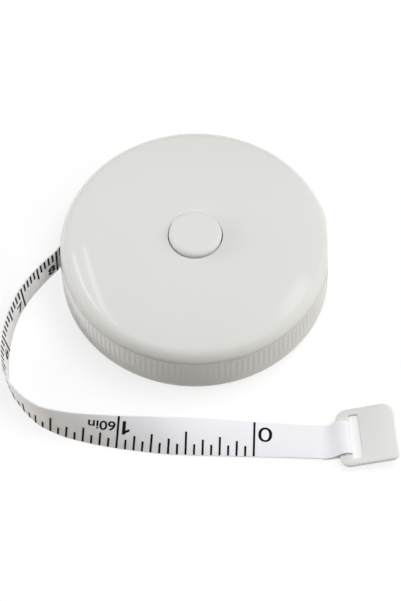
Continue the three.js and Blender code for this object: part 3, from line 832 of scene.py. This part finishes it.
def wound(start_angle, start_radius, end_angle, end_radius, steps_per_turn=72):
    """Points on a spiral between two angles in radians and two radii."""
    steps = ceil(abs(end_angle - start_angle) / (2 * pi) * steps_per_turn)
    share = np.linspace(0, 1, steps + 1)
    angle = start_angle + (end_angle - start_angle) * share
    radius = start_radius + (end_radius - start_radius) * share
    return list(zip(radius * np.cos(angle), radius * np.sin(angle)))[1:]


def upright_strip(points, low, high, thickness):
    """A strip on its edge along points in plan."""
    height = (low + high) / 2
    places = np.array([(x, y, height) for x, y in points])
    line = TapeLine(places, np.tile([0.0, 0.0, 1.0], (len(places), 1)))
    step = line.length / len(points)
    strip = flat_strip(line.length, high - low, thickness, step, thickness / 4)
    line.bend(strip)
    return strip


# %% Wound tape, mainspring and button spring
strip_bend = 0.45 * mm
winding_turns = (winding_outer - winding_inner) / (tape_thickness + winding_gap)
tape_slot = leave_angle - winding_turns * 2 * pi
spring_slot = tape_slot + pi
spring_turns = 5.35
post_slot = spring_slot - spring_turns * 2 * pi
hub_inner = 8.5 * mm
hub_outer = winding_inner - strip_bend
spring_inner = 3.6 * mm
spring_outer = 7.345 * mm
spring_thickness = 0.25 * mm
wound_low, wound_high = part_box("wound_tape")
tape_points = [
    spoke_point(tape_slot, hub_inner + fit_gap, 0),
    *quarter_bend(tape_slot, hub_outer, strip_bend, strip_bend, -90, 0),
    *wound(tape_slot + strip_bend / winding_inner, winding_inner, leave_angle, winding_outer),
]
wound_strip = upright_strip(tape_points, wound_low.z, wound_high.z, tape_thickness)
make_piece("tape_on_reel", wound_strip, "reel", ["wound_tape"])

spring_low, spring_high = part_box("mainspring")
spring_points = [
    spoke_point(post_slot, post_bore + fit_gap, 0),
    *quarter_bend(post_slot, spring_inner - strip_bend, strip_bend, strip_bend, -90, 0),
    *wound(
        post_slot + strip_bend / spring_inner,
        spring_inner,
        spring_slot - strip_bend / spring_outer,
        spring_outer,
    )[:-1],
    *quarter_bend(spring_slot, spring_outer + strip_bend, -strip_bend, strip_bend, 180, 90),
    spoke_point(spring_slot, hub_outer - fit_gap, 0),
]
spring_strip = upright_strip(spring_points, spring_low.z, spring_high.z, spring_thickness)
make_piece("winding_spring", spring_strip, "case", ["mainspring"])

coil_low, coil_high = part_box("button_spring")
coil_radius = 1.6 * mm
wire_radius = 0.2 * mm
coil_turns = 6
coil_steps = 32
wire_sides = 12
coil = bmesh.new()
ring = bmesh.ops.create_circle(
    coil,
    cap_ends=False,
    segments=wire_sides,
    radius=wire_radius,
    matrix=Matrix.Translation((coil_radius, 0, coil_low.z + wire_radius)) @ Matrix.Rotation(pi / 2, 4, "X"),
)
ring_edges = list({edge for vert in ring["verts"] for edge in vert.link_edges})
climb = (coil_high.z - coil_low.z - 2 * wire_radius) / coil_turns
bmesh.ops.spin(
    coil,
    geom=[*ring["verts"], *ring_edges],
    axis=(0, 0, 1),
    cent=(0, 0, 0),
    dvec=(0, 0, climb / coil_steps),
    angle=2 * pi * coil_turns,
    steps=coil_steps * coil_turns,
)
bmesh.ops.holes_fill(coil, edges=[edge for edge in coil.edges if edge.is_boundary], sides=wire_sides)
bmesh.ops.recalc_face_normals(coil, faces=coil.faces)
make_piece("brake_spring", coil, "case", ["button_spring"])

# %% Slot in the post for the brake
post_slot_half = 0.8 * mm
knife, knife_place = cutting_block(
    (-post_radius - overrun, -post_slot_half, flange_top),
    (post_radius + overrun, post_slot_half, post_top + overrun),
    post_slot,
    (0, 0, 0),
)
cut(lower_shell, knife, knife_place)

# %% [markdown]
# ## Surfaces that several finishes share
# Moulded plastic, rubber and card all have a fine grain and a faint mottle, only stronger or weaker, so
# that effect is one node group with its own inputs. The coated cloth and the ink on it share a second
# group: threads that show through the coating, with soft creases, and a mask that says where along the
# tape light shines through it. Each group only puts out colours, masks, values and normals, and the
# shader stays in the material. In a Mix node that mixes colours, the two colours are the inputs 6 and 7,
# and the result is the output 2.

# %% Helpers for node trees
colour_a, colour_b, colour_mixed = 6, 7, 2


def add_node(tree, kind, inputs, **settings):
    """Adds a node, sets its fields, and links or fills its inputs."""
    node = tree.nodes.new("ShaderNode" + kind)
    for key, value in settings.items():
        setattr(node, key, value)
    for key, value in inputs.items():
        if isinstance(value, bpy.types.NodeSocket):
            tree.links.new(value, node.inputs[key])
        else:
            node.inputs[key].default_value = value
    return node


def worked_out(tree, operation, *values):
    """What a Math node makes of sockets and numbers."""
    return add_node(tree, "Math", dict(enumerate(values)), operation=operation).outputs[0]


def start_group(name, inputs, outputs):
    """A new node group with named inputs and outputs."""
    tree = bpy.data.node_groups.new(name, "ShaderNodeTree")
    for label, (kind, value) in inputs.items():
        socket = tree.interface.new_socket(name=label, in_out="INPUT", socket_type="NodeSocket" + kind)
        socket.default_value = value
    for label, kind in outputs.items():
        tree.interface.new_socket(name=label, in_out="OUTPUT", socket_type="NodeSocket" + kind)
    return tree, tree.nodes.new("NodeGroupInput").outputs, tree.nodes.new("NodeGroupOutput").inputs


def finish_group(tree, outputs, sockets):
    """Links what the group puts out."""
    for label, socket in sockets.items():
        tree.links.new(socket, outputs[label])
    print("node group", tree.name, "with", len(tree.nodes), "nodes")


# %% Moulded skin
moulded_skin, given, out = start_group(
    "moulded_skin",
    {
        "Colour": ("Color", (0.7, 0.7, 0.7, 1)),
        "Shade": ("Color", (0.6, 0.6, 0.6, 1)),
        "Mottle scale": ("Float", 60.0),
        "Mottle": ("Float", 0.5),
        "Grain scale": ("Float", 2500.0),
        "Grain height": ("Float", 0.000004),
        "Roughness": ("Float", 0.4),
        "Gloss spread": ("Float", 0.1),
    },
    {"Colour": "Color", "Roughness": "Float", "Normal": "Vector"},
)
where = add_node(moulded_skin, "TexCoord", {}).outputs["Object"]
mottle = add_node(
    moulded_skin, "TexNoise", {"Vector": where, "Scale": given["Mottle scale"], "Detail": 3.0}
)
amount = worked_out(moulded_skin, "MULTIPLY", mottle.outputs["Fac"], given["Mottle"])
toned = add_node(
    moulded_skin,
    "Mix",
    {"Factor": amount, colour_a: given["Colour"], colour_b: given["Shade"]},
    data_type="RGBA",
)
centred = worked_out(moulded_skin, "SUBTRACT", mottle.outputs["Fac"], 0.5)
rougher = worked_out(moulded_skin, "MULTIPLY_ADD", centred, given["Gloss spread"], given["Roughness"])
grain = add_node(
    moulded_skin, "TexNoise", {"Vector": where, "Scale": given["Grain scale"], "Detail": 2.0}
)
raised = add_node(
    moulded_skin,
    "Bump",
    {"Height": grain.outputs["Fac"], "Distance": given["Grain height"], "Strength": 1.0},
)
finish_group(
    moulded_skin,
    out,
    {"Colour": toned.outputs[colour_mixed], "Roughness": rougher, "Normal": raised.outputs[0]},
)

# %% Threads under a coating
thread_skin, given, out = start_group(
    "thread_skin",
    {
        "Colour": ("Color", (0.8, 0.8, 0.8, 1)),
        "Shade": ("Color", (0.7, 0.7, 0.7, 1)),
        "Threads per metre": ("Float", 3200.0),
        "Thread height": ("Float", 0.000006),
        "Crease height": ("Float", 0.00005),
        "Stands until": ("Float", 0.045),
        "Lies from": ("Float", 0.062),
    },
    {"Colour": "Color", "Light through": "Float", "Normal": "Vector"},
)
flat_place = add_node(thread_skin, "UVMap", {}, uv_map="flat").outputs[0]
split = add_node(thread_skin, "SeparateXYZ", {"Vector": flat_place})
waves = []
for axis in ("X", "Y"):
    turns = worked_out(thread_skin, "MULTIPLY", split.outputs[axis], given["Threads per metre"])
    angle = worked_out(thread_skin, "MULTIPLY", turns, 2 * pi)
    waves.append(worked_out(thread_skin, "SINE", angle))
crossing = worked_out(thread_skin, "MULTIPLY", *waves)
weave = worked_out(thread_skin, "MULTIPLY_ADD", crossing, 0.5, 0.5)
shaded = add_node(
    thread_skin,
    "Mix",
    {"Factor": weave, colour_a: given["Colour"], colour_b: given["Shade"]},
    data_type="RGBA",
)
crease_stretch = (260, 40, 1)
stretched = add_node(thread_skin, "Mapping", {"Vector": flat_place, "Scale": crease_stretch})
creases = add_node(thread_skin, "TexNoise", {"Vector": stretched.outputs[0], "Scale": 1.0, "Detail": 2.0})
creased = add_node(
    thread_skin,
    "Bump",
    {"Height": creases.outputs["Fac"], "Distance": given["Crease height"], "Strength": 1.0},
)
woven = add_node(
    thread_skin,
    "Bump",
    {
        "Height": weave,
        "Distance": given["Thread height"],
        "Strength": 1.0,
        "Normal": creased.outputs[0],
    },
)
standing_light, lying_light = 1.0, 0.15
light_through = add_node(
    thread_skin,
    "MapRange",
    {
        "Value": split.outputs["X"],
        "From Min": given["Stands until"],
        "From Max": given["Lies from"],
        "To Min": standing_light,
        "To Max": lying_light,
    },
)
finish_group(
    thread_skin,
    out,
    {
        "Colour": shaded.outputs[colour_mixed],
        "Light through": light_through.outputs[0],
        "Normal": woven.outputs[0],
    },
)

# %% [markdown]
# ## Finishes
# Each finish is a Principled shader fed by one of the two groups. Its fixed values, such as the sheen of
# the cloth, are set on the shader itself. The tab is a milky plastic that light enters, so it scatters
# light under its surface. The cloth is thin enough for light to shine through where it stands on its
# edge. Where it lies on the table little does, and there the group's mask turns that down.

# %% Make the finishes


def finish_of(name, group, feeds, values, fixed):
    """A material: a node group with its own values, linked to a Principled shader with its fixed ones."""
    material = bpy.data.materials.new(name)
    material.use_nodes = True
    tree = material.node_tree
    shader = tree.nodes["Principled BSDF"]
    effect = tree.nodes.new("ShaderNodeGroup")
    effect.node_tree = group
    for label, value in values.items():
        effect.inputs[label].default_value = value
    for label, socket in feeds.items():
        tree.links.new(effect.outputs[label], shader.inputs[socket])
    for label, value in fixed.items():
        shader.inputs[label].default_value = value
    return material


skin_feeds = {"Colour": "Base Color", "Roughness": "Roughness", "Normal": "Normal"}
thread_feeds = {"Colour": "Base Color", "Normal": "Normal"}


def moulded(name, colour, shade, roughness, grain_height, fixed, mottle=0.5):
    """A finish of moulded plastic, rubber or card."""
    values = {
        "Colour": (*colour, 1),
        "Shade": (*shade, 1),
        "Mottle": mottle,
        "Roughness": roughness,
        "Grain height": grain_height * mm,
    }
    return finish_of(name, moulded_skin, skin_feeds, values, fixed)


case_white = moulded("case_white", (0.74, 0.74, 0.715), (0.7, 0.7, 0.675), 0.075, 0.0003, {"IOR": 1.5})
button_white = moulded("button_white", (0.75, 0.75, 0.725), (0.71, 0.71, 0.685), 0.2, 0.001, {"IOR": 1.5})
milky = {"Subsurface Weight": 0.8, "Subsurface Scale": 0.0015, "Subsurface Radius": (1, 1, 1)}
tab_white = moulded(
    "tab_white", (0.77, 0.77, 0.755), (0.73, 0.73, 0.715), 0.42, 0.003, {"IOR": 1.5, **milky}
)
reel_white = moulded("reel_white", (0.65, 0.64, 0.6), (0.58, 0.57, 0.53), 0.5, 0.003, {"IOR": 1.5})
nylon = moulded("nylon", (0.84, 0.84, 0.8), (0.78, 0.78, 0.73), 0.5, 0.003, {"IOR": 1.53})
pad_rubber = moulded("pad_rubber", (0.03, 0.029, 0.028), (0.02, 0.02, 0.019), 0.85, 0.02, {"IOR": 1.5})
disc_card = moulded("disc_card", (0.47, 0.41, 0.29), (0.38, 0.32, 0.22), 0.9, 0.02, {"IOR": 1.4})
spring_steel = moulded(
    "spring_steel", (0.4, 0.41, 0.43), (0.3, 0.31, 0.33), 0.3, 0.002, {"Metallic": 1.0}, mottle=0.8
)
thin_cloth = {"Subsurface Scale": 0.0008, "Subsurface Radius": (1, 1, 1)}
tape_white = finish_of(
    "tape_white",
    thread_skin,
    thread_feeds | {"Light through": "Subsurface Weight"},
    {"Colour": (0.92, 0.915, 0.955, 1), "Shade": (0.89, 0.885, 0.925, 1)},
    {"Roughness": 0.42, "IOR": 1.48, "Sheen Weight": 0.1, **thin_cloth},
)
tape_ink = finish_of(
    "tape_ink",
    thread_skin,
    thread_feeds,
    {"Colour": (0.006, 0.006, 0.007, 1), "Shade": (0.01, 0.01, 0.011, 1)},
    {"Roughness": 0.6, "IOR": 1.4, "Specular IOR Level": 0.2},
)
print(len(bpy.data.materials), "materials so far")

# %% Put the finishes on
finishes = {
    "ribbed_shell": case_white,
    "domed_shell": case_white,
    "push_button": button_white,
    "slotted_tab": tab_white,
    "cloth_tape": tape_white,
    "tape_on_reel": tape_white,
    "inch_marks": tape_ink,
    "centimetre_marks": tape_ink,
    "winding_spring": spring_steel,
    "brake_spring": spring_steel,
    "reel_drum": reel_white,
    "reel_cover": reel_white,
    "tape_wedge": reel_white,
    "thrust_washer": nylon,
    "brake_plate": nylon,
    "brake_pad": pad_rubber,
    "spring_disc": disc_card,
}
for name, material in finishes.items():
    dressed = bpy.data.objects[name]
    if dressed.material_slots:
        dressed.material_slots[0].material = material
    else:
        dressed.data.materials.append(material)
print(len(finishes), "pieces have a finish")

# %% [markdown]
# ## Table and light
# The photograph is cut out on pure white. The table shows the camera that white, and keeps a trace of its
# real shading so that the measure still throws a faint shadow. Five broad soft lamps light the measure:
# two above, two low at the sides, and one behind on the left. The gloss of the case would mirror them as
# patches that aren't in the photograph, so they are kept out of reflections. Three small panes do the
# opposite. They light next to nothing, and the gloss mirrors them as the two streaks on the left and the
# soft spot on the right.

# %% Table
table_size = 3
table_shadow = 0.2
table_bounce = (0.5, 0.45, 0.375, 1)
table_bm = bmesh.new()
bmesh.ops.create_grid(table_bm, x_segments=1, y_segments=1, size=table_size)
table_mesh = bpy.data.meshes.new("table")
table_bm.to_mesh(table_mesh)
table_bm.free()
table = bpy.data.objects.new("table", table_mesh)
scene.collection.objects.link(table)
table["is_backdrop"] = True

table_white = bpy.data.materials.new("table_white")
table_white.use_nodes = True
tree = table_white.node_tree
tree.nodes.clear()
matt = add_node(tree, "BsdfDiffuse", {"Color": table_bounce})
bright = add_node(tree, "BsdfDiffuse", {"Color": (1.0, 1.0, 1.0, 1)})
glow = add_node(tree, "Emission", {"Color": (1, 1, 1, 1), "Strength": 1.0})
seen = add_node(tree, "MixShader", {0: table_shadow, 1: glow.outputs[0], 2: bright.outputs[0]})
ray = add_node(tree, "LightPath", {})
direct = worked_out(tree, "MAXIMUM", ray.outputs["Is Camera Ray"], ray.outputs["Is Glossy Ray"])
direct = worked_out(tree, "MAXIMUM", direct, ray.outputs["Is Transmission Ray"])
either = add_node(tree, "MixShader", {0: direct, 1: matt.outputs[0], 2: seen.outputs[0]})
add_node(tree, "OutputMaterial", {"Surface": either.outputs[0]})
table_mesh.materials.append(table_white)
print("table", 2 * table_size, "m wide")

# %% World and lamps
world = bpy.data.worlds.new("studio")
world.use_nodes = True
scene.world = world
tree = world.node_tree
tree.nodes.clear()
room_light = 0.04
soft = add_node(tree, "Background", {"Color": (1, 1, 1, 1), "Strength": room_light})
white = add_node(tree, "Background", {"Color": (1, 1, 1, 1), "Strength": 1.0})
ray = add_node(tree, "LightPath", {})
backdrop = add_node(
    tree, "MixShader", {0: ray.outputs["Is Camera Ray"], 1: soft.outputs[0], 2: white.outputs[0]}
)
add_node(tree, "OutputWorld", {"Surface": backdrop.outputs[0]})

lamp_target = Vector((0, 0, 0.01))


def add_lamp(name, place, size, watts, turn=0, mirrored=True):
    """A flat lamp that faces the middle of the case."""
    light = bpy.data.lights.new(name, "AREA")
    light.shape = "RECTANGLE"
    light.size, light.size_y = size
    light.energy = watts
    lamp = bpy.data.objects.new(name, light)
    lamp.location = place
    lamp.rotation_mode = "QUATERNION"
    facing = (lamp_target - Vector(place)).to_track_quat("-Z", "Y")
    lamp.rotation_quaternion = facing @ Quaternion((0, 0, 1), turn)
    lamp.visible_glossy = mirrored
    scene.collection.objects.link(lamp)


broad_lamps = [
    ("right_top", (0.22, 0.1, 0.65), (0.3, 0.3), 2.05),
    ("front_top", (0.2, -0.22, 0.52), (0.3, 0.3), 1.3),
    ("right_low", (0.5, 0.05, 0.28), (0.4, 0.25), 1.15),
    ("left_low", (-0.6, 0.05, 0.12), (0.5, 0.15), 2.4),
    ("left_back", (-0.4, 0.4, 0.2), (0.3, 0.2), 0.35),
]
panes = [
    ("window_pane", (-0.163, 0.145, 0.408), (0.19, 0.009), 0.0155, radians(52)),
    ("second_pane", (-0.195, 0.155, 0.394), (0.15, 0.012), 0.022, radians(52)),
    ("far_window", (0.195, 0.11, 0.407), (0.1, 0.1), 0.045, radians(-52)),
]
for lamp in broad_lamps:
    add_lamp(*lamp, mirrored=False)
for pane in panes:
    add_lamp(*pane)
print(len(broad_lamps), "broad lamps and", len(panes), "panes")
scene.view_settings.view_transform = "Standard"

# %% [markdown]
# ## The size
# The dressed measure has to stay in the box of the imported one. Both boxes, of the imported measure and of
# the dressed one, are written down, lowest corner first.

# %% Write both boxes
seen_low, seen_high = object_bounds()
for label, low, high in (("cad", cad_low, cad_high), ("visual", seen_low, seen_high)):
    print(label, "box", [round(x / mm, 2) for x in low], [round(x / mm, 2) for x in high])
